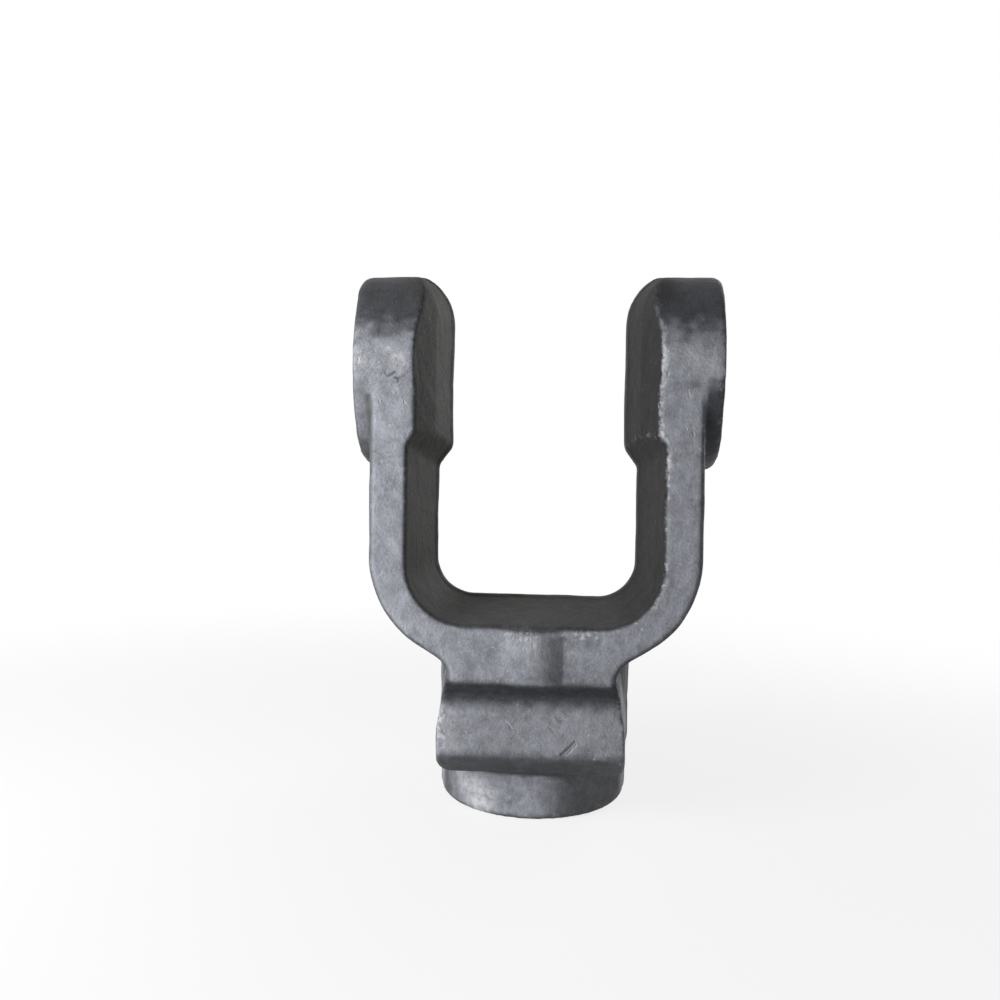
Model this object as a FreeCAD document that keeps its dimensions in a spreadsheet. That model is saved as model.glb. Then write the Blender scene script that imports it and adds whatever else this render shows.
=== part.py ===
"""Trunnion forging: a closed-die steel fork with a round shank, as forged and trimmed.

The dies part on the plane Y = 0, so the front and back are alike and every wall that
faces the dies leans by a draft angle. The shank stands on its flat end at Z = 0, and the
fork opens upward between two ears that later carry the pin.
"""
import FreeCAD, Part
import math
import os
import re

import Sketcher

DRIVING_SIZES = [
    ("shank_end_radius", 30.0, "shank at its flat end"),
    ("shank_neck_radius", 31.0, "shank where it meets the fork"),
    ("shank_crown_radius", 31.0, "top of the shank inside the fork base"),
    ("shank_rim_bevel", 1.2, "bevel on the rim of the flat end"),
    ("fork_half_depth", 29.5, "parting plane to the front face of the arms"),
    ("arm_outer_half_width", 52.8, "centre to an arm's outer side, at the parting plane"),
    ("arm_inner_half_width", 33.2, "centre to an arm's inner side, at the parting plane"),
    ("outer_draft", 5.0, "draft of the outer walls, degrees"),
    ("inner_draft", 11.0, "draft of the walls inside the fork, degrees"),
    ("neck_rise", 5.0, "top edge of the cross pad up to the underside, beside the neck"),
    ("underside_slope", 30.0, "slope of the underside from the neck to a bend, degrees"),
    ("bend_centre", 18.3, "centre of the fork to the centre of an outer bend's round"),
    ("floor_height", 64.0, "floor of the fork, at the parting plane"),
    ("floor_corner_radius", 12.7, "corner between the floor and an arm"),
    ("ear_centre_height", 138.0, "centre of the round ears"),
    ("ear_radius", 30.8, "round of the ears, seen along X"),
    ("ear_pad_height", 4.5, "how far an ear's inner pad stands out of the arm"),
    ("ear_boss_height", 5.3, "how far an ear's outer boss stands out of the arm"),
    ("ear_shoulder_radius", 17.0, "round of the pad's top corner, seen along Y"),
    ("ear_shoulder_turn", 62.0, "angle that this round turns before it meets the ear's top"),
    ("ear_rim_round", 4.2, "round on the rim of the outer boss"),
    ("pad_foot_drop", 30.6, "centre of an ear down to the foot of the step under its pad"),
    ("pad_step_rise", 6.1, "height of that step"),
    ("pad_step_round", 2.6, "rounds at the top and foot of that step"),
    ("bevel_start_depth", 16.7, "parting plane to the steeper part of the pad"),
    ("bevel_draft", 20.0, "draft of that steeper part, degrees"),
    ("neck_half_width", 25.2, "flat neck between the pads and the fork, at its front face"),
    ("cross_pad_half_width", 27.4, "cross pad on the shank, at its front face"),
    ("cross_pad_half_depth", 39.5, "parting plane to the cross pad's front face"),
    ("cross_pad_top", 39.8, "top edge of the cross pad, at its front face"),
    ("cross_pad_bottom", 15.6, "bottom of the cross pad, before its bevel"),
    ("cross_pad_shoulder", 10.0, "height over which the pad narrows to the neck"),
    ("cross_pad_bevel", 6.8, "bevel under the cross pad"),
    ("cross_pad_top_round", 6.0, "round over the pad's top edge"),
    ("cross_pad_bevel_round", 6.0, "blend from the pad's face to its bevel"),
    ("cross_pad_corner_round", 7.0, "round of the pad's lower corners"),
    ("outer_edge_round", 2.0, "round along the outer edges of the front and back"),
    ("inner_edge_bevel", 0.7, "bevel along the edges round the fork's opening"),
    ("neck_fillet", 6.0, "fillet between the fork's underside and the neck"),
]

doc = FreeCAD.newDocument("trunnion_forging")
sheet = doc.addObject("Spreadsheet::Sheet", "sizes")
for row, (alias, value, note) in enumerate(DRIVING_SIZES, start=1):
    sheet.set(f"A{row}", alias)
    sheet.set(f"B{row}", str(value))
    sheet.set(f"C{row}", note)
    sheet.setAlias(f"B{row}", alias)
doc.recompute()

CLEAR = 6.0  # how far a cutting outline runs past the metal it cuts
EAR_TOP = "(ear_centre_height + ear_radius)"
EAR_OUTSIDE = "(arm_outer_half_width + ear_boss_height)"
EAR_INSIDE = "(arm_inner_half_width - ear_pad_height)"
PAD_FOOT = "(ear_centre_height - pad_foot_drop)"


def named(expression):
    """The expression with each driving size written as a cell of the sheet."""
    aliases = {alias for alias, value, note in DRIVING_SIZES}
    return re.sub(r"[a-z_]+", lambda word: ("sizes." if word[0] in aliases else "") + word[0], expression)


def size(expression):
    """The expression's value in millimetres or degrees."""
    return float(sheet.evalExpression(named(expression)))


def plane_of(body, role):
    """One of the body's own origin planes."""
    return next(item for item in body.Origin.OriginFeatures if item.Role == role)


def new_sketch(body, role, label, offset="0"):
    """An empty sketch on an origin plane, lifted along the plane's normal by offset."""
    sketch = body.newObject("Sketcher::SketchObject", label)
    sketch.AttachmentSupport = [(plane_of(body, role), "")]
    sketch.MapMode = "FlatFace"
    sketch.setExpression("AttachmentOffset.Base.z", named(offset))
    return sketch


def place_point(sketch, geometry, point, label, across, up):
    """Two named distances from the origin, so that a sheet change moves the point."""
    for kind, axis, expression in (("DistanceX", "across", across), ("DistanceY", "up", up)):
        constraint = Sketcher.Constraint(kind, -1, 1, geometry, point, size(expression))
        index = sketch.addConstraint(constraint)
        sketch.renameConstraint(index, f"{label}_{axis}")
        sketch.setExpression(f"Constraints.{label}_{axis}", named(expression))


def corner_cut(before, corner, after, radius):
    """Tangent points and centre of an arc that rounds a corner."""
    back = (before - corner).normalize()
    ahead = (after - corner).normalize()
    half_angle = back.getAngle(ahead) / 2
    start = corner + back * (radius / math.tan(half_angle))
    end = corner + ahead * (radius / math.tan(half_angle))
    centre = corner + (back + ahead).normalize() * (radius / math.sin(half_angle))
    return start, end, centre


def draw_outline(sketch, corners):
    """A closed outline. Each corner is (label, across, up, radius or None)."""
    spots = [FreeCAD.Vector(size(c[1]), size(c[2]), 0) for c in corners]
    count = len(corners)
    starts, ends, centres = [], [], []
    for i, (label, across, up, radius) in enumerate(corners):
        if radius is None:
            start, end, centre = spots[i], spots[i], None
        else:
            start, end, centre = corner_cut(spots[i - 1], spots[i], spots[(i + 1) % count], size(radius))
        starts.append(start)
        ends.append(end)
        centres.append(centre)
    lines = []
    for i in range(count):
        segment = Part.LineSegment(ends[i], starts[(i + 1) % count])
        lines.append(sketch.addGeometry(segment, False))
    for i, (label, across, up, radius) in enumerate(corners):
        arriving, leaving = lines[i - 1], lines[i]
        if radius is None:
            sketch.addConstraint(Sketcher.Constraint("Coincident", arriving, 2, leaving, 1))
            place_point(sketch, leaving, 1, label, across, up)
            continue
        arc, first, last = add_arc(sketch, starts[i], ends[i], centres[i])
        sketch.addConstraint(Sketcher.Constraint("Tangent", arriving, 2, arc, first))
        sketch.addConstraint(Sketcher.Constraint("Tangent", arc, last, leaving, 1))
        index = sketch.addConstraint(Sketcher.Constraint("Radius", arc, size(radius)))
        sketch.renameConstraint(index, f"{label}_radius")
        sketch.setExpression(f"Constraints.{label}_radius", named(radius))
        corner = sketch.addGeometry(Part.Point(spots[i]), True)
        sketch.addConstraint(Sketcher.Constraint("PointOnObject", corner, 1, arriving))
        sketch.addConstraint(Sketcher.Constraint("PointOnObject", corner, 1, leaving))
        place_point(sketch, corner, 1, label, across, up)
    doc.recompute()


def add_arc(sketch, start, end, centre):
    """An arc from start to end, with the numbers of its first and last points."""
    turn = (start - centre).cross(end - centre).z
    first_angle = math.atan2(start.y - centre.y, start.x - centre.x)
    last_angle = math.atan2(end.y - centre.y, end.x - centre.x)
    circle = Part.Circle(centre, FreeCAD.Vector(0, 0, 1), (start - centre).Length)
    if turn > 0:
        return sketch.addGeometry(Part.ArcOfCircle(circle, first_angle, last_angle), False), 1, 2
    return sketch.addGeometry(Part.ArcOfCircle(circle, last_angle, first_angle), False), 2, 1


def mirrored_corners(right_side):
    """The corners of a symmetric outline, from those of its right half, bottom to top."""
    left_side = [(f"{label}_left", f"-1 * ({across})", up, radius)
                 for label, across, up, radius in reversed(right_side)]
    right_side = [(f"{label}_right", across, up, radius) for label, across, up, radius in right_side]
    return right_side + left_side


def lean(depth, draft):
    """How far a drafted wall moves between the parting plane and a depth."""
    return f"({depth}) * tan({draft})"


def drafted(body, kind, label, stations):
    """A ruled loft through outlines parallel to the parting plane.

    Each station is (name, distance in front of the parting plane, corners).
    """
    sections = []
    for name, distance, corners in stations:
        sketch = new_sketch(body, "XZ_Plane", f"{label}_{name}", distance)
        draw_outline(sketch, corners)
        sections.append(sketch)
    loft = body.newObject(f"PartDesign::{kind}", label)
    loft.Profile = (sections[0], [""])
    loft.Sections = [(section, [""]) for section in sections[1:]]
    loft.Ruled = True
    doc.recompute()
    return loft


def drafted_pad(body, label, corners, depth, draft):
    """A pad to the front and the back whose walls lean in from the parting plane."""
    sketch = new_sketch(body, "XZ_Plane", f"{label}_outline")
    draw_outline(sketch, corners)
    pad = body.newObject("PartDesign::Pad", label)
    pad.Profile = (sketch, [""])
    pad.SideType = "Two sides"
    for suffix in ("", "2"):
        pad.setExpression(f"Length{suffix}", named(depth))
        pad.setExpression(f"TaperAngle{suffix}", named(f"-1 * {draft}"))
    doc.recompute()
    return pad


def through(feature, sketch, depth):
    """A straight pad or pocket, half of it on each side of its plane."""
    feature.Profile = (sketch, [""])
    feature.SideType = "Symmetric"
    feature.setExpression("Length", named(f"2 * ({depth})"))
    doc.recompute()
    return feature


def edges_where(shape, test):
    """The names of the shape's edges that pass the test."""
    return [f"Edge{i}" for i, edge in enumerate(shape.Edges, start=1) if test(edge)]


def dress(body, kind, label, base, names, expression):
    """A fillet or chamfer on the named edges."""
    feature = body.newObject(f"PartDesign::{kind}", label)
    feature.Base = (base, names)
    feature.setExpression("Size" if kind == "Chamfer" else "Radius", named(expression))
    doc.recompute()
    return feature


def near(a, b, tolerance=0.02):
    return abs(a - b) < tolerance


def ends_and_middle(edge):
    first, last = edge.ParameterRange
    return [edge.valueAt(first), edge.valueAt((first + last) / 2), edge.valueAt(last)]


def spans(edge, axis):
    """How far the edge reaches along one axis."""
    box = edge.BoundBox
    return {"x": box.XLength, "y": box.YLength, "z": box.ZLength}[axis]


pad_body = doc.addObject("PartDesign::Body", "cross_pad_block")
body = doc.addObject("PartDesign::Body", "trunnion_forging")
body.Label = "trunnion_forging"

# Cross pad, a drafted block that will cross the shank
pad_spread = lean("cross_pad_half_depth", "outer_draft")
pad_bottom = f"cross_pad_bottom - {pad_spread}"
cross_pad = drafted_pad(pad_body, "cross_pad", mirrored_corners([
    ("bottom", f"cross_pad_half_width + {pad_spread}", pad_bottom, "cross_pad_corner_round"),
    ("shoulder", f"cross_pad_half_width + {pad_spread}", "cross_pad_top - cross_pad_shoulder", None),
    ("top", f"neck_half_width + {pad_spread}", f"cross_pad_top + {pad_spread}", None),
]), "cross_pad_half_depth", "outer_draft")

# The lower front and back corners of the pad, cut off at 45 degrees
pad_undercut = new_sketch(pad_body, "YZ_Plane", "cross_pad_undercut")
for side, sign in (("back", "1"), ("front", "-1")):
    draw_outline(pad_undercut, [
        (f"{side}_face", f"{sign} * (cross_pad_half_depth + {CLEAR})",
         f"cross_pad_bottom + cross_pad_bevel + {CLEAR}", None),
        (f"{side}_under", f"{sign} * (cross_pad_half_depth - cross_pad_bevel - {CLEAR})",
         f"cross_pad_bottom - {CLEAR}", None),
        (f"{side}_corner", f"{sign} * (cross_pad_half_depth + {CLEAR})",
         f"cross_pad_bottom - {CLEAR}", None),
    ])
pad_bevel = through(pad_body.newObject("PartDesign::Pocket", "cross_pad_bevel"), pad_undercut,
                    f"cross_pad_half_width + 2 * {CLEAR}")


def across_pad_face(edge, height):
    """Edges that run level across the pad's front or back face, at a height."""
    on_face = all(near(abs(v.Y), size("cross_pad_half_depth")) for v in edge.Vertexes)
    return on_face and near(edge.BoundBox.ZMin, size(height)) and spans(edge, "z") < 0.01


pad_last = pad_bevel
for label, height, radius in (
    ("cross_pad_top_edge", "cross_pad_top", "cross_pad_top_round"),
    ("cross_pad_bevel_edge", "cross_pad_bottom + cross_pad_bevel", "cross_pad_bevel_round"),
):
    edges = edges_where(pad_last.Shape, lambda edge: across_pad_face(edge, height))
    pad_last = dress(pad_body, "Fillet", label, pad_last, edges, radius)

# Fork, with its neck and two bent corners, up to the middle of the ears
neck_at_parting = f"(neck_half_width + {lean('fork_half_depth', 'outer_draft')})"
bend_radius = "(arm_outer_half_width - bend_centre)"
underside = "(cross_pad_top + neck_rise)"
bend_rise = f"(arm_outer_half_width - {neck_at_parting}) * tan(underside_slope)"
fork = drafted_pad(body, "fork", mirrored_corners([
    ("neck", neck_at_parting, "cross_pad_top - cross_pad_shoulder", None),
    ("root", neck_at_parting, underside, "neck_fillet"),
    ("bend", "arm_outer_half_width", f"{underside} + {bend_rise}", bend_radius),
    ("top", "arm_outer_half_width", "ear_centre_height", None),
]), "fork_half_depth", "outer_draft")

# Shank, turned about its own axis, with a crown inside the fork base
front_floor = "floor_height - fork_half_depth * tan(inner_draft)"
shank_half = new_sketch(body, "XZ_Plane", "shank_half_section")
draw_outline(shank_half, [
    ("axis_bottom", "0", "0", None),
    ("rim_end", "shank_end_radius - shank_rim_bevel", "0", None),
    ("rim_side", "shank_end_radius", "shank_rim_bevel", None),
    ("neck", "shank_neck_radius", underside, None),
    ("crown", "shank_crown_radius", f"{front_floor} - shank_rim_bevel", None),
    ("axis_top", "0", f"{front_floor} - shank_rim_bevel", None),
])
shank = body.newObject("PartDesign::Revolution", "shank")
shank.Profile = (shank_half, [""])
shank.ReferenceAxis = (shank_half, ["V_Axis"])
shank.Angle = 360
doc.recompute()

joined = body.newObject("PartDesign::Boolean", "with_cross_pad")
joined.setObjects([pad_body])
joined.Type = "Fuse"
doc.recompute()

# Ears, one round bar across the fork whose ends lean back from the parting plane
ear_circle = new_sketch(body, "YZ_Plane", "ear_circle")
ring = ear_circle.addGeometry(Part.Circle(FreeCAD.Vector(0, size("ear_centre_height"), 0),
                                          FreeCAD.Vector(0, 0, 1), size("ear_radius")), False)
ear_circle.addConstraint(Sketcher.Constraint("PointOnObject", ring, 3, -2))
for kind, expression in (("DistanceY", "ear_centre_height"), ("Radius", "ear_radius")):
    where = (-1, 1, ring, 3) if kind == "DistanceY" else (ring,)
    index = ear_circle.addConstraint(Sketcher.Constraint(kind, *where, size(expression)))
    ear_circle.renameConstraint(index, expression)
    ear_circle.setExpression(f"Constraints.{expression}", named(expression))
doc.recompute()
ears = through(body.newObject("PartDesign::Pad", "ears"), ear_circle, EAR_OUTSIDE)


def on_ear_end(edge):
    """The two circles at the ends of the bar."""
    return all(near(abs(p.x), size(EAR_OUTSIDE)) for p in ends_and_middle(edge))


ear_rims = dress(body, "Fillet", "ear_rims", ears, edges_where(ears.Shape, on_ear_end), "ear_rim_round")

ear_ends = new_sketch(body, "XY_Plane", "ear_ends")
reach = f"(ear_radius + {CLEAR})"
for end, sign in (("left", "-1"), ("right", "1")):
    past_end = f"{sign} * ({EAR_OUTSIDE} + 2 * {CLEAR})"
    set_back = f"{sign} * ({EAR_OUTSIDE} - {reach} * tan(outer_draft))"
    draw_outline(ear_ends, [
        (f"{end}_ridge", f"{sign} * {EAR_OUTSIDE}", "0", None),
        (f"{end}_back", set_back, reach, None),
        (f"{end}_back_far", past_end, reach, None),
        (f"{end}_front_far", past_end, f"-1 * {reach}", None),
        (f"{end}_front", set_back, f"-1 * {reach}", None),
    ])
bosses = through(body.newObject("PartDesign::Pocket", "ear_end_trim"), ear_ends, f"{EAR_TOP} + {CLEAR}")

# Gap between the arms and between the pads of the ears
shoulder_start = f"{EAR_TOP} - ear_shoulder_radius * sin(ear_shoulder_turn)"
mouth_reach = f"(ear_shoulder_radius * tan(ear_shoulder_turn / 2) + 3 * {CLEAR})"


def mouth_corners(inset):
    """The rounded top corner of a pad, and the line that leaves it over the ear."""
    radius = f"(ear_shoulder_radius - {inset})"
    half_width = f"{EAR_INSIDE} + {inset}"
    corner_height = f"{shoulder_start} + {radius} * tan(ear_shoulder_turn / 2)"
    return [
        ("shoulder", half_width, corner_height, radius),
        ("mouth", f"{half_width} + {mouth_reach} * sin(ear_shoulder_turn)",
         f"{corner_height} + {mouth_reach} * cos(ear_shoulder_turn)", None),
    ]


def gap_corners(inset):
    arm = f"arm_inner_half_width + {inset}"
    return mirrored_corners([
        ("floor", arm, f"floor_height - {inset}", f"floor_corner_radius + {inset}"),
        ("step_foot", arm, f"{PAD_FOOT} + {inset}", "pad_step_round"),
        ("step_lip", f"{EAR_INSIDE} + {inset}",
         f"{PAD_FOOT} + pad_step_rise + {inset}", "pad_step_round"),
    ] + mouth_corners(inset))


gap_depth = f"(ear_radius + {CLEAR})"
gap_end_corners = gap_corners(f"({lean(gap_depth, 'inner_draft')})")
gap = drafted(body, "SubtractiveLoft", "gap", [
    ("front", gap_depth, gap_end_corners),
    ("parting", "0", gap_corners("0")),
    ("back", f"-1 * {gap_depth}", gap_end_corners),
])


# Steeper outer stretch of each pad, which leaves a ridge down the pad
def bevel_corners(inset):
    foot = ("foot", f"{EAR_INSIDE} + {inset}", f"{PAD_FOOT} - 2 * {CLEAR}", None)
    return mirrored_corners([foot] + mouth_corners(inset))


bevel_inset = lean("bevel_start_depth", "inner_draft")
full_inset = f"{bevel_inset} + {lean(f'{gap_depth} - bevel_start_depth', 'bevel_draft')}"
for side, sign in (("front", "1"), ("back", "-1")):
    bevel = drafted(body, "SubtractiveLoft", f"pad_bevel_{side}", [
        ("inner", f"{sign} * bevel_start_depth", bevel_corners(f"({bevel_inset})")),
        ("outer", f"{sign} * {gap_depth}", bevel_corners(f"({full_inset})")),
    ])


def on_fork_face(edge):
    """Edges that lie in the front or back face of the fork."""
    return all(near(abs(p.y), size("fork_half_depth")) for p in ends_and_middle(edge))


def beside_gap(edge):
    """Edges no further out than the opening is, where it meets the front or back face."""
    middle = ends_and_middle(edge)[1]
    opening = size("arm_inner_half_width + fork_half_depth * tan(inner_draft)")
    return middle.z > size(front_floor) - 1 and abs(middle.x) < opening + 1


def on_fork_outside(edge):
    """Edges of the front and back faces along the outside, from the neck to the ears."""
    middle = ends_and_middle(edge)[1]
    off_crown = abs(middle.x) > size("neck_half_width") - 1
    crosses_arm = spans(edge, "z") < 0.01 and middle.z > size("floor_height")
    return on_fork_face(edge) and off_crown and not beside_gap(edge) and not crosses_arm


def along_gap(edge):
    """Edges of the front and back faces round the gap, apart from the seam with the round ears."""
    crosses_arm = spans(edge, "z") < 0.01 and edge.BoundBox.ZMax > size("floor_height")
    return on_fork_face(edge) and beside_gap(edge) and not crosses_arm


last = bevel
for kind, label, test, width in (
    ("Fillet", "outer_edges", on_fork_outside, "outer_edge_round"),
    ("Chamfer", "gap_edges", along_gap, "inner_edge_bevel"),
):
    last = dress(body, kind, label, last, edges_where(last.Shape, test), width)

for item in doc.Objects:
    if {"Invalid", "Error"} & set(item.State):
        raise RuntimeError(f"{item.Label} did not build: {item.State}")
if body.Shape.isNull() or not body.Shape.isValid() or len(body.Shape.Solids) != 1:
    raise RuntimeError(f"{body.Label} is not one valid solid")

os.makedirs("parts", exist_ok=True)
body.Shape.exportStep(f"parts/{body.Label}.step")
print(f"{body.Label}: {body.Shape.Volume / 1000:.1f} cubic centimetres")
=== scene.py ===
"""Looks of the trunnion forging: a shot-blasted, trimmed steel forging on a pale floor.

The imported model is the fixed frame. The forging is remade as one even mesh over it, with
the softened edges, the trim line and the small unevenness that a forging has, and gets a
steel made of nodes. Lengths are in metres, apart from the lists of marks.
"""

import math

import bpy
import numpy as np
from mathutils import Matrix, Vector, noise


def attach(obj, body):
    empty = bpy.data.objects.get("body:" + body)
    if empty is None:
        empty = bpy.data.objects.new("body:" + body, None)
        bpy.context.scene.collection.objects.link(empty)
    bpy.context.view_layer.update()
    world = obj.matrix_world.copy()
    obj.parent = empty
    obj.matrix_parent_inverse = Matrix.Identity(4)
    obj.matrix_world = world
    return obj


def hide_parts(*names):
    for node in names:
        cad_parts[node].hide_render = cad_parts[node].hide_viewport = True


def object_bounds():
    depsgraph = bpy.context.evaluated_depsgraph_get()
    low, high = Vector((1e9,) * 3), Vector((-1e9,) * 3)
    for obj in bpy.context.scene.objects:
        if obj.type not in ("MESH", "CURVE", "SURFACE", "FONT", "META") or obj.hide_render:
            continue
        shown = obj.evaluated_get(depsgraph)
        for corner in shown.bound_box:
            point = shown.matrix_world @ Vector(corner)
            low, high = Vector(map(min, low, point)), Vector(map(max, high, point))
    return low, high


bl_info = {
    "name": "Trunnion forging",
    "version": (1, 0, 0),
    "blender": (4, 5, 0),
    "location": "View3D > Sidebar > Forging",
    "description": "Dresses a forged steel fork and sets its stage",
    "category": "Object",
}

MM = 0.001
NODE = "trunnion_forging"

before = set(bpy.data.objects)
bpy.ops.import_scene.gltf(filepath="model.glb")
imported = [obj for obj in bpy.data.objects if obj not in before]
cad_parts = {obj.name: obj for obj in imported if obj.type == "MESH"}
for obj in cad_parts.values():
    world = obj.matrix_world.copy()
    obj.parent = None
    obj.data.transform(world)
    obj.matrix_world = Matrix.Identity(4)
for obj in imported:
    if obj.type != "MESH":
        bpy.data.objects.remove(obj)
cad_low, cad_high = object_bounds()


class ForgingSettings(bpy.types.PropertyGroup):
    """Shape detail that is too small for the solid model."""

    mesh_step: bpy.props.FloatProperty(
        name="Mesh step", description="Width of the even mesh's faces",
        default=0.84 * MM, min=0.5 * MM, unit="LENGTH", precision=5)
    edge_passes: bpy.props.IntProperty(
        name="Edge softening", description="Smoothing passes that wear the edges round",
        default=3, min=0)
    swell_height: bpy.props.FloatProperty(
        name="Swell", description="Height of the broad unevenness of the faces",
        default=0.22 * MM, unit="LENGTH", precision=5)
    swell_width: bpy.props.FloatProperty(
        name="Swell width", description="Width of one broad swell",
        default=13.0 * MM, unit="LENGTH", precision=5)
    dent_height: bpy.props.FloatProperty(
        name="Dents", description="Height of the small dents and scale marks",
        default=0.09 * MM, unit="LENGTH", precision=5)
    dent_width: bpy.props.FloatProperty(
        name="Dent width", description="Width of one small dent",
        default=4.0 * MM, unit="LENGTH", precision=5)
    trim_width: bpy.props.FloatProperty(
        name="Trim line width", description="Width of the sheared line where the dies met",
        default=3.2 * MM, unit="LENGTH", precision=5)
    trim_height: bpy.props.FloatProperty(
        name="Trim line height", description="How far the sheared line stands out",
        default=0.45 * MM, unit="LENGTH", precision=5)


class SteelSettings(bpy.types.PropertyGroup):
    """Colours and grain of the blasted steel."""

    steel: bpy.props.FloatVectorProperty(
        name="Blasted steel", description="Main colour of the blasted faces",
        default=(0.325, 0.335, 0.375), size=3, subtype="COLOR", min=0, max=1)
    # The scale colour is also used for painted shade on the flanks, in the crease and inside the fork.
    scale_and_shade_colour: bpy.props.FloatVectorProperty(
        name="Scale", description="Darker colour where forging scale is left",
        default=(0.075, 0.075, 0.07), size=3, subtype="COLOR", min=0, max=1)
    # The worn colour is also used for painted highlights and glints.
    worn_and_highlight: bpy.props.FloatVectorProperty(
        name="Worn edges", description="Brighter colour of the rubbed edges",
        default=(0.62, 0.62, 0.64), size=3, subtype="COLOR", min=0, max=1)
    nick_colour: bpy.props.FloatVectorProperty(
        name="Nicks", description="Colour at the bottom of a nick",
        default=(0.05, 0.05, 0.06), size=3, subtype="COLOR", min=0, max=1)
    roughness: bpy.props.FloatProperty(
        name="Roughness", description="Roughness of the blasted faces",
        default=0.52, min=0, max=1, subtype="FACTOR")
    metallic: bpy.props.FloatProperty(
        name="Metallic", description="Share of bare metal in the blasted skin",
        default=0.0, min=0, max=1, subtype="FACTOR")
    gloss: bpy.props.FloatProperty(
        name="Gloss", description="Strength of the sheen on the oxide skin",
        default=0.13, min=0, max=1, subtype="FACTOR")
    grain: bpy.props.FloatProperty(
        name="Grain width", description="Width of one shot dimple",
        default=0.75 * MM, unit="LENGTH", precision=5)
    relief: bpy.props.FloatProperty(
        name="Grain depth", description="Depth of the dimples and nicks",
        default=0.22 * MM, unit="LENGTH", precision=5)


class StageSettings(bpy.types.PropertyGroup):
    """Camera, lamps and floor."""

    camera_place: bpy.props.FloatVectorProperty(
        name="Camera", description="Where the camera stands",
        default=(6.6 * MM, -286.5 * MM, 103.8 * MM), size=3, subtype="TRANSLATION", precision=5)
    camera_turn: bpy.props.FloatProperty(
        name="Turn", description="Turn of the camera to the right", default=-0.0659, subtype="ANGLE")
    camera_tilt: bpy.props.FloatProperty(
        name="Tilt", description="Tilt of the camera, upward", default=-0.0282, subtype="ANGLE")
    camera_roll: bpy.props.FloatProperty(
        name="Roll", description="Roll of the camera, clockwise", default=-0.0159, subtype="ANGLE")
    lens: bpy.props.FloatProperty(
        name="Lens", description="Focal length on a 36 mm sensor", default=30.96)
    key_place: bpy.props.FloatVectorProperty(
        name="Key lamp place", description="Where the large lamp on the left stands",
        default=(-0.30, -0.19, 0.15), size=3, subtype="TRANSLATION")
    key_width: bpy.props.FloatProperty(
        name="Key lamp width", description="Width of the large lamp on the left",
        default=0.20, unit="LENGTH")
    key_power: bpy.props.FloatProperty(
        name="Key lamp", description="Power of the large lamp on the left", default=1.42, unit="POWER")
    rim_place: bpy.props.FloatVectorProperty(
        name="Rim lamp place", description="Where the lamp behind, on the right, stands",
        default=(0.30, 0.36, 0.26), size=3, subtype="TRANSLATION")
    rim_width: bpy.props.FloatProperty(
        name="Rim lamp width", description="Width of the lamp behind, on the right",
        default=0.30, unit="LENGTH")
    rim_power: bpy.props.FloatProperty(
        name="Rim lamp", description="Power of the lamp behind, on the right", default=0.95, unit="POWER")
    sky: bpy.props.FloatProperty(
        name="Surroundings", description="Light from all round", default=0.14, min=0)
    floor_radius: bpy.props.FloatProperty(
        name="Floor", description="Radius of the floor", default=3.0, unit="LENGTH")
    floor_colour: bpy.props.FloatVectorProperty(
        name="Floor colour", description="Colour of the pale floor",
        default=(0.85, 0.85, 0.85), size=3, subtype="COLOR", min=0, max=1)
    fade_start: bpy.props.FloatProperty(
        name="Fade start", description="Distance from the middle at which the floor starts to fade",
        default=0.08, unit="LENGTH")
    fade_end: bpy.props.FloatProperty(
        name="Fade end", description="Distance from the middle at which the floor is white",
        default=0.45, unit="LENGTH")
    fade_share: bpy.props.FloatProperty(
        name="White close by", description="Share of white in the floor beside the object",
        default=0.82, min=0, max=1, subtype="FACTOR")


def even_mesh(node, step, passes):
    """The node's shape again, as a mesh of equal small faces with softened edges."""
    copy = bpy.data.objects.new("even_mesh", node.data.copy())
    bpy.context.scene.collection.objects.link(copy)
    remesh = copy.modifiers.new("even", "REMESH")
    remesh.mode = "VOXEL"
    remesh.voxel_size = step
    soften = copy.modifiers.new("soften", "SMOOTH")
    soften.factor = 0.5
    soften.iterations = passes
    graph = bpy.context.evaluated_depsgraph_get()
    mesh = bpy.data.meshes.new_from_object(copy.evaluated_get(graph))
    bpy.data.objects.remove(copy)
    return mesh


def vertex_array(mesh, name):
    """A vector per vertex, as rows."""
    values = np.zeros(len(mesh.vertices) * 3, np.float32)
    mesh.vertices.foreach_get(name, values)
    return values.reshape(-1, 3).astype(float)


def convexity(mesh, places, normals, passes=3):
    """How far each vertex stands out from its neighbours, smoothed, in metres."""
    edges = np.zeros(len(mesh.edges) * 2, np.int32)
    mesh.edges.foreach_get("vertices", edges)
    a, b = edges.reshape(-1, 2).T
    count = np.bincount(np.concatenate([a, b]), minlength=len(places))

    def mean_of_neighbours(values):
        total = np.zeros_like(values)
        np.add.at(total, a, values[b])
        np.add.at(total, b, values[a])
        return total / count.reshape((-1,) + (1,) * (values.ndim - 1))

    bulge = ((places - mean_of_neighbours(places)) * normals).sum(1)
    for _ in range(passes):
        bulge = (bulge + mean_of_neighbours(bulge)) / 2
    return bulge


def ramp(values, start, full):
    """0 at start and before it, 1 at full and past it, smooth between. Full may be the lower one."""
    share = np.clip((values - start) / (full - start), 0.0, 1.0)
    return share * share * (3 - 2 * share)


def uneven(places, width, seed):
    """Smooth unevenness between about -1 and 1."""
    shift = Vector((seed, 2 * seed, 3 * seed))
    return np.array([noise.noise(Vector(p) / width + shift) for p in places])


def trim_line(places, normals, width):
    """1 on the sheared line where the dies met, with ragged borders."""
    beside = np.abs(places[:, 1]) / (width / 2) * (1 + 0.35 * uneven(places, 5 * MM, 7.3))
    faces_sideways = ramp(np.sqrt(1 - np.clip(normals[:, 1], -1, 1) ** 2), 0.75, 0.95)
    above_floor = ramp(places[:, 2], 0.2 * MM, 1.5 * MM)
    return (1 - ramp(beside, 0.6, 1.1)) * faces_sideways * above_floor


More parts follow.
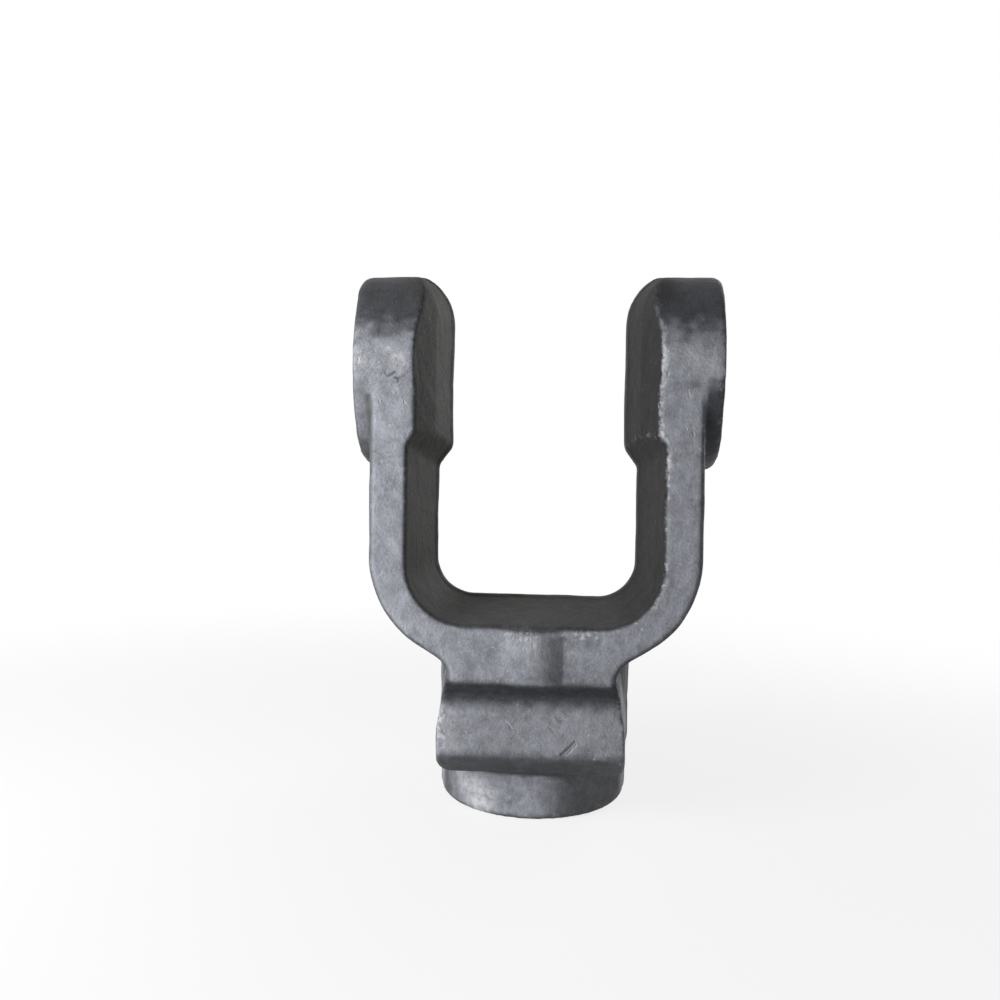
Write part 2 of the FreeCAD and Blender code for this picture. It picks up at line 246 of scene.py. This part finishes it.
def skin_lift(places, shape, trim):
    """How far each vertex moves out, for the swells, the dents and the trim line."""
    swell = uneven(places, shape.swell_width, 1.7)
    dents = uneven(places, shape.dent_width, 4.1)
    stands_free = ramp(places[:, 2], 0.0, 1.5 * MM)
    lift = (shape.swell_height * swell + shape.dent_height * dents) * stands_free
    return lift + shape.trim_height * trim


def walls_of_gap(places, normals, outward):
    """1 on the walls and the floor inside the fork, which get the darker scale, here also painted shade."""
    in_gap = ramp(places[:, 2], 52 * MM, 66 * MM) * ramp(np.abs(places[:, 0]), 46 * MM, 38 * MM)
    return in_gap * np.maximum(ramp(-outward, 0.25, 0.8), ramp(normals[:, 2], 0.35, 0.85))


def painted_light_by_facing(places, normals, outward):
    """Painted light and shade by facing: 1 on faces turned to the front, painted pale as if lit; lower on
    the rounded edges, the left boss, the sides of the neck and faces tilted up or down, painted dark as
    shade, lighter under the left ear and darker under the right boss.
    """
    x, y, z = places.T
    up = normals[:, 2]
    on_ear = ramp(z, 60 * MM, 100 * MM)

    faces_die = np.abs(normals[:, 1]) + 0.10 * uneven(places, 3.5 * MM, 9.2)
    outer_side = ramp(outward, 0.90, 0.99)
    painted_light = np.maximum(ramp(faces_die, 0.30, 0.85), 0.75 * outer_side)

    # Painted shade on the rounded edges and on the left boss.
    rounded_edge = ramp(outward, 0.25, 0.6) * (1 - outer_side) * ramp(z, 36 * MM, 44 * MM)
    left_boss = ramp(-x, 50 * MM, 52 * MM) * ramp(z, 136 * MM, 126 * MM) * on_ear
    painted_light *= (1 - 0.55 * rounded_edge) * (1 - 0.32 * left_boss)

    # Painted shade on the sides of the neck.
    beside_neck = ramp(z, 15 * MM, 18 * MM) * ramp(z, 56 * MM, 50 * MM)
    beside_neck *= ramp(y, -20 * MM, -16 * MM) * ramp(y, 4 * MM, 0)
    painted_light *= 1 - 0.85 * beside_neck * ramp(x, 26 * MM, 28 * MM)
    painted_light *= 1 - 0.60 * beside_neck * ramp(-x, 27 * MM, 29 * MM)

    # Painted shade on faces tilted up or down: lighter under the left ear, darker under the right boss.
    under_left_ear = ramp(-up, -0.1, 0.2) * on_ear * (x < 0)
    under_right_boss = ramp(x, 49.5 * MM, 51.5 * MM) * ramp(-up, 0, 0.1) * on_ear
    tilt = np.abs(up) * (1 - 0.72 * under_left_ear + 0.6 * under_right_boss)
    tilt += 0.14 * uneven(places, 3.4 * MM, 5.6)
    return painted_light * (1 - 0.9 * ramp(tilt, 0.02 + 0.08 * on_ear, 0.80 - 0.32 * on_ear))


def store(mesh, name, values):
    """Keeps one number per vertex for the material."""
    layer = mesh.attributes.new(name, "FLOAT", "POINT")
    layer.data.foreach_set("value", values.astype(np.float32))


class Value:
    """A socket in shader maths: + - * on it add the Math nodes."""

    def __init__(self, nodes, socket):
        self.nodes, self.socket = nodes, socket

    def join(self, operation, *inputs):
        return self.nodes.add("ShaderNodeMath", {"operation": operation}, inputs)

    def __add__(self, other):
        return self.join("ADD", self, other)

    def __sub__(self, other):
        return self.join("SUBTRACT", self, other)

    def __mul__(self, other):
        return self.join("MULTIPLY", self, other)

    def __rsub__(self, other):
        return self.join("SUBTRACT", other, self)

    __radd__, __rmul__ = __add__, __mul__


class Nodes:
    """Adds nodes to one material."""

    def __init__(self, tree):
        self.tree = tree
        tree.nodes.clear()

    def add(self, kind, settings=None, inputs=(), output=0):
        """A node: its settings first, then its sockets, by number or by name."""
        node = self.tree.nodes.new(kind)
        for name, value in (settings or {}).items():
            setattr(node, name, value)
        pairs = inputs.items() if isinstance(inputs, dict) else enumerate(inputs)
        for key, value in pairs:
            if isinstance(value, Value):
                self.tree.links.new(value.socket, node.inputs[key])
            else:
                node.inputs[key].default_value = value
        return Value(self, node.outputs[output])

    def end(self, kind, shader):
        """The output node, fed by the shader."""
        self.tree.links.new(shader.socket, self.tree.nodes.new(kind).inputs["Surface"])

    def step(self, value, low, high, start=0.0, end=1.0):
        """A smooth change from start to end while the value goes from low to high."""
        return self.add("ShaderNodeMapRange", {"interpolation_type": "SMOOTHSTEP", "clamp": True},
                        {"Value": value, "From Min": low, "From Max": high,
                         "To Min": start, "To Max": end})

    def mix(self, share, first, second):
        """From the first colour to the second."""
        colours = [(*c, 1.0) if isinstance(c, tuple) else c for c in (first, second)]
        return self.add("ShaderNodeMix", {"data_type": "RGBA"},
                        {0: share, 6: colours[0], 7: colours[1]}, output=2)

    def tint(self, colour, shade):
        """A colour or vector times one number."""
        return self.add("ShaderNodeVectorMath", {"operation": "SCALE"}, {0: colour, "Scale": shade})

    def vector(self, operation, first, second, output="Vector"):
        return self.add("ShaderNodeVectorMath", {"operation": operation}, {0: first, 1: second}, output)

    def axis(self, place, name):
        """One coordinate of a place."""
        return self.add("ShaderNodeSeparateXYZ", {}, {"Vector": place}, name)

    def noise(self, place, width, detail=2.0, rough=0.5, output="Fac"):
        """Noise between 0 and 1 whose cells are width wide."""
        return self.add("ShaderNodeTexNoise", {}, {
            "Vector": place, "Scale": 1 / width, "Detail": detail, "Roughness": rough}, output)


def any_of(masks):
    """The largest of several masks."""
    total = masks[0]
    for mask in masks[1:]:
        total = total.join("MAXIMUM", total, mask)
    return total


# Marks on the front of the forging, from one point to another, (across, up) in millimetres.
# A width is a pair: the mark is full up to the first distance from its line, gone at the second
NICK_WIDTH = (0.10, 0.55)
DARK_NICKS = [  # share, ends
    (0.4, ((-45.9, 135.0), (-44.5, 133.1))), (1.0, ((-44.5, 133.1), (-42.3, 134.5))),
    (1.0, ((-42.5, 132.7), (-41.4, 132.4))), (0.5, ((-41.4, 132.5), (-39.6, 133.4))),
    (0.6, ((-41.5, 132.5), (-41.5, 131.7))), (1.0, ((9.0, 23.3), (12.9, 27.3))),
    (0.5, ((7.2, 34.7), (8.7, 33.0))), (0.5, ((9.5, 35.9), (11.2, 34.8))),
    (0.4, ((5.5, 31.1), (6.7, 30.0))),
]
SCRATCH_WIDTH = (0.05, 0.45)
BRIGHT_SCRATCHES = [
    ((-53.6, 138.5), (-53.6, 136.7)), ((-47.3, 126.3), (-47.2, 125.7)), ((-39.7, 125.8), (-39.4, 125.2)),
    ((38.6, 134.8), (38.6, 133.9)), ((44.8, 129.9), (44.9, 128.1)), ((44.0, 118.7), (44.3, 118.4)),
    ((46.4, 117.5), (46.6, 116.4)),
    ((10.3, 23.0), (13.6, 26.4)), ((-19.4, 29.7), (-18.5, 29.1)), ((-7.2, 33.0), (-5.2, 30.8)),
    ((8.7, 34.2), (10.4, 33.6)), ((21.5, 24.2), (23.2, 23.6)), ((-8.1, 8.0), (-6.5, 6.7)),
]
SPOT_CORE = 0.5
# The first two spots are a painted highlight on the left side of the shank, the last is painted light on
# the left end of the cross pad; the others are bright spots.
HIGHLIGHT_AND_BRIGHT_SPOTS = [  # share, distance at which it is gone, ends
    (0.90, 5.5, ((-16.0, 0.5), (-14.5, 6.5))), (0.35, 5.5, ((-19.0, 8.0), (-16.0, 11.0))),
    (0.25, 5.5, ((-44.0, 140.5), (-41.5, 137.0))), (0.30, 5.5, ((-53.0, 138.5), (-50.5, 137.5))),
    (0.35, 5.5, ((46.0, 139.0), (52.0, 137.0))), (0.30, 5.5, ((-3.0, 54.5), (0.0, 52.5))),
    (0.60, 1.3, ((-44.6, 141.3), (-43.2, 139.9))), (0.65, 1.4, ((-42.3, 138.9), (-40.3, 136.7))),
    (0.60, 1.1, ((-40.5, 139.2), (-40.4, 137.1))), (0.28, 4.0, ((-24.5, 33.5), (-22.5, 24.0))),
]
EDGE_WIDTH = (0.6, 1.8)
# Lines along edges on the front, painted bright in flecks.
BRIGHT_EDGE_LINES = [
    ((-7.2, 55.6), (0.9, 55.8)), ((1.0, 55.0), (0.0, 53.4)), ((9.5, 56.3), (18.5, 56.3)),
    ((-25.9, 34.0), (-25.8, 25.0)),
]
# Painted shade in the crease where the left boss leaves the arm
CREASE_WIDTH = (0.3, 1.7)
BOSS_CREASE = ((-50.8, 127.0), (-50.8, 108.0))
# Painted shade, darkest towards the right, on the crown, the shank and the cross pad, fading in from the
# left
SHADED_FLANKS = [  # share, (left start, full), right, (low, high)
    (0.5, (0.5, 6.0), 9.4, (42.0, 56.0)), (0.6, (2.0, 12.0), 27.0, (-5.0, 15.5)),
    (0.13, (-26.0, -16.0), 27.5, (18.0, 37.0)),
]


class BlastedSteel:
    """Shot-blasted forged steel: dimples, grey mottling, scale in hollows and rubbed edges, with painted
    light and shade: paler front faces, painted shade inside the fork, on the flanks and in a crease, and
    painted highlights and glints.
    """

    def __init__(self, nodes, look):
        self.nodes, self.look = nodes, look
        self.place = nodes.add("ShaderNodeTexCoord", output="Object")
        self.x, self.y, self.z = (nodes.axis(self.place, name) for name in "XYZ")
        self.edge, self.hollow, self.trim, self.sheltered, self.painted_light = (
            nodes.add("ShaderNodeAttribute", {"attribute_name": name}, output="Fac")
            for name in ("edge", "hollow", "trim", "sheltered", "painted_light"))
        self.clouds = nodes.noise(self.place, 16 * MM, 4.0, 0.55)
        self.blotch = nodes.noise(self.place, 4.5 * MM, 3.0, 0.6)
        self.mottle = nodes.noise(self.place, 2.2 * MM, 5.0, 0.62)
        self.patchy = nodes.noise(self.place, 2.2 * MM, 4.0, 0.7)
        self.fine = nodes.noise(self.place, 0.55 * MM, 3.0, 0.6)
        self.on_right = nodes.step(self.x, -25 * MM, 25 * MM)
        self.in_front = nodes.step(self.y, -12 * MM, -10 * MM, 1.0, 0.0)
        noises = nodes.noise(self.place, 1.2 * MM, output="Color")
        waver = nodes.vector("SUBTRACT", noises, (0.5, 0.5, 0.5))
        self.wavering = nodes.vector("ADD", self.place, nodes.tint(waver, 1.0 * MM))

    def scale_and_shade(self):
        """Share of forging scale, which on the walls and the floor inside the fork is also painted shade.
        """
        flakes = self.nodes.noise(self.place, 7 * MM, 5.0, 0.65) + 0.25 * self.hollow
        on_faces = self.nodes.step(flakes, 0.56, 0.74) * 0.45
        # Inside the fork the scale is also painted shade.
        return on_faces + self.sheltered * (0.62 + 0.45 * self.clouds)

    def steel_scale_and_shade(self, scale_and_shade):
        """The mottled grey of the steel, with painted shade by facing, and the darker scale over it,
        painted lighter on the left wall of the gap and darker on the right wall.
        """
        shade = (0.62 + 0.54 * self.clouds) + 0.55 * (self.blotch - 0.5)
        shade = shade + 0.80 * (self.mottle - 0.5) + 0.30 * (self.fine - 0.5)
        # Painted shade: the steel is painted darker on faces turned from the front.
        steel = self.nodes.tint(tuple(self.look.steel), shade * (0.15 + 0.95 * self.painted_light))
        # Painted shade: the scale is painted lighter on the left wall of the gap and darker on the right
        # wall.
        left_wall = self.nodes.step(self.x, -30 * MM, -20 * MM, 1.0, 0.0)
        right_wall = self.nodes.step(self.x, 20 * MM, 30 * MM)
        scale_shade = shade * (1.3 - 0.2 * left_wall - right_wall)
        return self.nodes.mix(scale_and_shade, steel, self.nodes.tint(tuple(self.look.scale_and_shade_colour), scale_shade))

    def wear_and_edge_highlight(self):
        """Share of bare bright metal along the edges: wear, and beside the right pad also a painted edge
        highlight.
        """
        below_round = self.nodes.step(self.z, 142 * MM, 148 * MM, 1.0, 0.15)
        # Beside the right pad the bright edge is also a painted highlight.
        beside_pad = self.nodes.step(self.z, 98 * MM, 106 * MM) * self.on_right
        speckle = (self.patchy - 0.5) * (2.8 + 2.6 * beside_pad * self.edge)
        wear_and_edge_highlight = self.nodes.step(self.edge * (0.85 + 0.75 * beside_pad) + speckle, 0.48, 0.80)
        flecks = self.nodes.step(self.nodes.noise(self.place, 1.4 * MM), 0.45, 0.60)
        return wear_and_edge_highlight * (0.15 + 0.85 * self.painted_light) * below_round * (0.6 + 0.7 * flecks)

    def brightness(self, wear_and_edge_highlight):
        """Share of the worn colour from the bright edges with their painted highlight, the specks, the
        painted glints and the trim line.
        """
        specks = self.nodes.step(self.nodes.noise(self.place, 0.8 * MM), 0.66, 0.76)
        # Painted highlights: glints only on faces painted as lit.
        painted_glints = self.nodes.step(self.nodes.noise(self.place, 1.7 * MM), 0.70, 0.76) * self.painted_light
        # The bright edges are painted stronger on the right, as a painted highlight.
        bright = wear_and_edge_highlight * (0.20 + 0.35 * self.on_right) * (0.4 + 1.1 * self.blotch)
        bright = bright + specks * 0.35 * (0.3 + 0.7 * self.painted_light)
        return bright + painted_glints * 0.40 + self.trim * 0.12

    def along(self, place, ends, full, gone):
        """1 within full of the line between two points, 0 past gone, seen along Y, in millimetres."""
        nodes = self.nodes
        start, end = (Vector((across, 0.0, up)) * MM for across, up in ends)
        run = end - start
        level = nodes.vector("MULTIPLY", place, (1.0, 0.0, 1.0))
        from_start = nodes.vector("SUBTRACT", level, tuple(start))
        share = nodes.vector("DOT_PRODUCT", from_start, tuple(run / run.length_squared), output="Value")
        nearest = nodes.tint(tuple(run), nodes.add("ShaderNodeClamp", {}, {"Value": share}))
        away = nodes.vector("DISTANCE", from_start, nearest, output="Value")
        return nodes.step(away, full * MM, gone * MM, 1.0, 0.0)

    def shaded_flank(self, share, left_side, right, heights):
        """The share inside a rectangle, which fades in over its left side."""
        nodes = self.nodes
        across, up = (nodes.axis(self.wavering, name) for name in "XZ")
        (left, full), (low, high) = left_side, heights
        from_left = nodes.step(across, left * MM, full * MM, 0.0, share)
        to_right = nodes.step(across, (right - 0.2) * MM, (right + 0.2) * MM, 1.0, 0.0)
        above = nodes.step(up, (low - 1.0) * MM, (low + 1.0) * MM)
        below = nodes.step(up, (high - 1.0) * MM, (high + 1.0) * MM, 1.0, 0.0)
        return from_left * to_right * above * below

    def highlights_and_bright_marks(self, base):
        """The bright spots and edge lines on the front, in the worn colour; some spots are painted
        highlights.
        """
        nodes, worn_and_highlight = self.nodes, tuple(self.look.worn_and_highlight)
        spots = any_of([self.along(self.place, ends, SPOT_CORE, gone) * share
                        for share, gone, ends in HIGHLIGHT_AND_BRIGHT_SPOTS])
        spots = self.in_front * spots * nodes.step(self.mottle + 0.4 * (self.patchy - 0.5), 0.10, 0.80)
        edges = any_of([self.along(self.place, ends, *EDGE_WIDTH) for ends in BRIGHT_EDGE_LINES])
        flecks = nodes.step(nodes.noise(self.place, 1.3 * MM), 0.52, 0.62)
        return nodes.mix(self.in_front * edges * flecks * 0.75, nodes.mix(spots, base, worn_and_highlight), worn_and_highlight)

    def painted_shade_marks(self, base):
        """Painted shade on the front, in the scale colour: on the flanks and in the crease beside the left
        boss.
        """
        scale_and_shade_colour = tuple(self.look.scale_and_shade_colour)
        for flank in SHADED_FLANKS:
            base = self.nodes.mix(self.in_front * self.shaded_flank(*flank), base, scale_and_shade_colour)
        # Painted shade in the crease beside the left boss.
        crease = self.in_front * self.along(self.place, BOSS_CREASE, *CREASE_WIDTH)
        return self.nodes.mix(crease * 0.80, base, scale_and_shade_colour)

    def bumps(self, cuts):
        """The surface direction with its dimples, blotches, torn trim line and cuts."""
        nodes = self.nodes
        dimples = nodes.add("ShaderNodeTexVoronoi", {"feature": "SMOOTH_F1"},
                            {"Vector": self.place, "Scale": 1 / self.look.grain, "Smoothness": 0.6},
                            "Distance")
        streaks = nodes.add("ShaderNodeMapping", {}, {"Vector": self.place, "Scale": (1.0, 0.22, 1.0)})
        tear = nodes.noise(streaks, 0.5 * MM, 3.0, 0.6)
        height = (1 - cuts) + dimples * 0.5 + self.blotch * 2.2 + self.mottle * 1.3
        height = height + self.fine * 0.3 + self.trim * (tear - 0.5) * 0.9
        return nodes.add("ShaderNodeBump", {},
                         {"Strength": 0.65, "Distance": self.look.relief, "Height": height})

    def shader(self):
        """The whole steel as one shader."""
        nodes, look = self.nodes, self.look
        scale_and_shade, wear_and_edge_highlight = self.scale_and_shade(), self.wear_and_edge_highlight()
        nicks = any_of([self.along(self.wavering, ends, *NICK_WIDTH) * share
                        for share, ends in DARK_NICKS])
        scratches = any_of([self.along(self.wavering, ends, *SCRATCH_WIDTH)
                            for ends in BRIGHT_SCRATCHES])
        nicks, scratches = self.in_front * nicks, self.in_front * scratches

        base = nodes.mix(self.brightness(wear_and_edge_highlight), self.steel_scale_and_shade(scale_and_shade), tuple(look.worn_and_highlight))
        base = self.painted_shade_marks(self.highlights_and_bright_marks(base))
        base = nodes.mix(nicks * 0.65, base, tuple(look.nick_colour))
        base = nodes.mix(scratches * (0.05 + 0.5 * self.mottle), base, tuple(look.worn_and_highlight))
        roughness = (look.roughness + 0.16 * (self.mottle - 0.5)) - 0.12 * wear_and_edge_highlight
        roughness = roughness + 0.06 * scale_and_shade + 0.10 * self.sheltered
        return nodes.add("ShaderNodeBsdfPrincipled", {}, {
            "Base Color": base, "Roughness": roughness, "Metallic": look.metallic,
            "Normal": self.bumps(any_of([nicks, scratches])), "Specular IOR Level": look.gloss})


def blasted_steel(look):
    material = bpy.data.materials.new("blasted_forged_steel")
    material.use_nodes = True
    nodes = Nodes(material.node_tree)
    nodes.end("ShaderNodeOutputMaterial", BlastedSteel(nodes, look).shader())
    return material


class FORGING_OT_dress(bpy.types.Operator):
    """Lay the forging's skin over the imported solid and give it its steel"""

    bl_idname = "forging.dress"
    bl_label = "Dress the forging"

    def execute(self, context):
        shape, look = context.scene.forging_shape, context.scene.forging_steel
        mesh = even_mesh(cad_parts[NODE], shape.mesh_step, shape.edge_passes)
        places, normals = vertex_array(mesh, "co"), vertex_array(mesh, "normal")
        outward = normals[:, 0] * np.sign(places[:, 0])
        bend = 9 * convexity(mesh, places, normals) / shape.mesh_step
        trim = trim_line(places, normals, shape.trim_width)
        store(mesh, "trim", trim)
        store(mesh, "sheltered", walls_of_gap(places, normals, outward))

        places += normals * skin_lift(places, shape, trim)[:, None]
        mesh.vertices.foreach_set("co", places.astype(np.float32).ravel())
        beside_gap = ramp(np.abs(places[:, 0]), 46 * MM, 42 * MM)
        store(mesh, "edge", np.clip(bend, 0, 1) * (0.55 + 0.45 * beside_gap))
        store(mesh, "hollow", np.clip(-bend, 0, 1))
        # Painted light and shade by facing, kept for the material.
        store(mesh, "painted_light", painted_light_by_facing(places, normals, outward))

        mesh.polygons.foreach_set("use_smooth", np.ones(len(mesh.polygons), bool))
        mesh.materials.clear()
        mesh.materials.append(blasted_steel(look))
        mesh.update()

        skin = bpy.data.objects.new("forging_skin", mesh)
        context.scene.collection.objects.link(skin)
        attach(skin, "root")
        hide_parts(NODE)
        return {"FINISHED"}


class FORGING_OT_stage(bpy.types.Operator):
    """Set the camera, the soft lamps and the pale floor"""

    bl_idname = "forging.stage"
    bl_label = "Set the stage"

    def execute(self, context):
        scene, stage = context.scene, context.scene.forging_stage
        scene.camera = add_camera(stage)
        scene.view_settings.view_transform = "Standard"
        add_lamp("key", stage.key_place, stage.key_width, stage.key_power)
        add_lamp("rim", stage.rim_place, stage.rim_width, stage.rim_power)
        scene.world = surroundings(stage)
        add_floor(stage)
        return {"FINISHED"}


def add_camera(stage):
    data = bpy.data.cameras.new("camera")
    data.lens, data.sensor_width = stage.lens, 36.0
    data.clip_start = 10 * MM
    camera = bpy.data.objects.new("camera", data)
    turn = (Matrix.Rotation(-stage.camera_turn, 4, "Z")
            @ Matrix.Rotation(math.pi / 2 + stage.camera_tilt, 4, "X")
            @ Matrix.Rotation(-stage.camera_roll, 4, "Z"))
    camera.matrix_world = Matrix.Translation(stage.camera_place) @ turn
    bpy.context.scene.collection.objects.link(camera)
    return camera


def add_lamp(name, place, width, power):
    """A square area lamp that faces the middle of the object."""
    data = bpy.data.lights.new(name, "AREA")
    data.size, data.energy = width, power
    lamp = bpy.data.objects.new(name, data)
    middle = (cad_low + cad_high) / 2
    lamp.location = place
    lamp.rotation_euler = (middle - Vector(place)).to_track_quat("-Z", "Y").to_euler()
    bpy.context.scene.collection.objects.link(lamp)


def seen_directly(nodes):
    """1 for rays that show the background: to the camera, in a reflection or through glass."""
    return any_of([nodes.add("ShaderNodeLightPath", output=name)
                   for name in ("Is Camera Ray", "Is Glossy Ray", "Is Transmission Ray")])


def surroundings(stage):
    """An even light, which looks white where it is seen."""
    world = bpy.data.worlds.new("surroundings")
    world.use_nodes = True
    nodes = Nodes(world.node_tree)
    light, white = (nodes.add("ShaderNodeBackground", {}, {"Color": (1, 1, 1, 1), "Strength": strength})
                    for strength in (stage.sky, 1.0))
    both = nodes.add("ShaderNodeMixShader", {}, {0: seen_directly(nodes), 1: light, 2: white})
    nodes.end("ShaderNodeOutputWorld", both)
    return world


def add_floor(stage):
    """A flat disc, white far away, which keeps the object's shadow close by."""
    bpy.ops.mesh.primitive_circle_add(vertices=96, radius=stage.floor_radius, fill_type="NGON")
    floor = bpy.context.object
    floor.name = "floor"
    material = bpy.data.materials.new("pale_floor")
    material.use_nodes = True
    nodes = Nodes(material.node_tree)
    place = nodes.add("ShaderNodeTexCoord", output="Object")
    away = nodes.add("ShaderNodeVectorMath", {"operation": "LENGTH"}, {0: place}, "Value")
    white = nodes.step(away, stage.fade_start, stage.fade_end, stage.fade_share, 1.0) * seen_directly(nodes)
    paint = nodes.add("ShaderNodeBsdfDiffuse", {}, {"Color": (*stage.floor_colour, 1.0)})
    glow = nodes.add("ShaderNodeEmission", {}, {"Color": (1, 1, 1, 1), "Strength": 1.0})
    surface = nodes.add("ShaderNodeMixShader", {}, {0: white, 1: paint, 2: glow})
    nodes.end("ShaderNodeOutputMaterial", surface)
    floor.data.materials.append(material)
    return floor


class FORGING_PT_panel(bpy.types.Panel):
    """Settings of the forging"""

    bl_label = "Trunnion forging"
    bl_space_type = "VIEW_3D"
    bl_region_type = "UI"
    bl_category = "Forging"

    def draw(self, context):
        for settings, operator in ((context.scene.forging_shape, None),
                                   (context.scene.forging_steel, FORGING_OT_dress),
                                   (context.scene.forging_stage, FORGING_OT_stage)):
            column = self.layout.column()
            for name in settings.__annotations__:
                column.prop(settings, name)
            if operator:
                column.operator(operator.bl_idname)


SETTINGS = {
    "forging_shape": ForgingSettings,
    "forging_steel": SteelSettings,
    "forging_stage": StageSettings,
}
CLASSES = (*SETTINGS.values(), FORGING_OT_dress, FORGING_OT_stage, FORGING_PT_panel)


def register():
    for kind in CLASSES:
        bpy.utils.register_class(kind)
    for name, kind in SETTINGS.items():
        setattr(bpy.types.Scene, name, bpy.props.PointerProperty(type=kind))


def unregister():
    for name in SETTINGS:
        delattr(bpy.types.Scene, name)
    for kind in reversed(CLASSES):
        bpy.utils.unregister_class(kind)


def main():
    register()
    bpy.ops.forging.dress()
    bpy.ops.forging.stage()


if __name__ == "__main__":
    main()
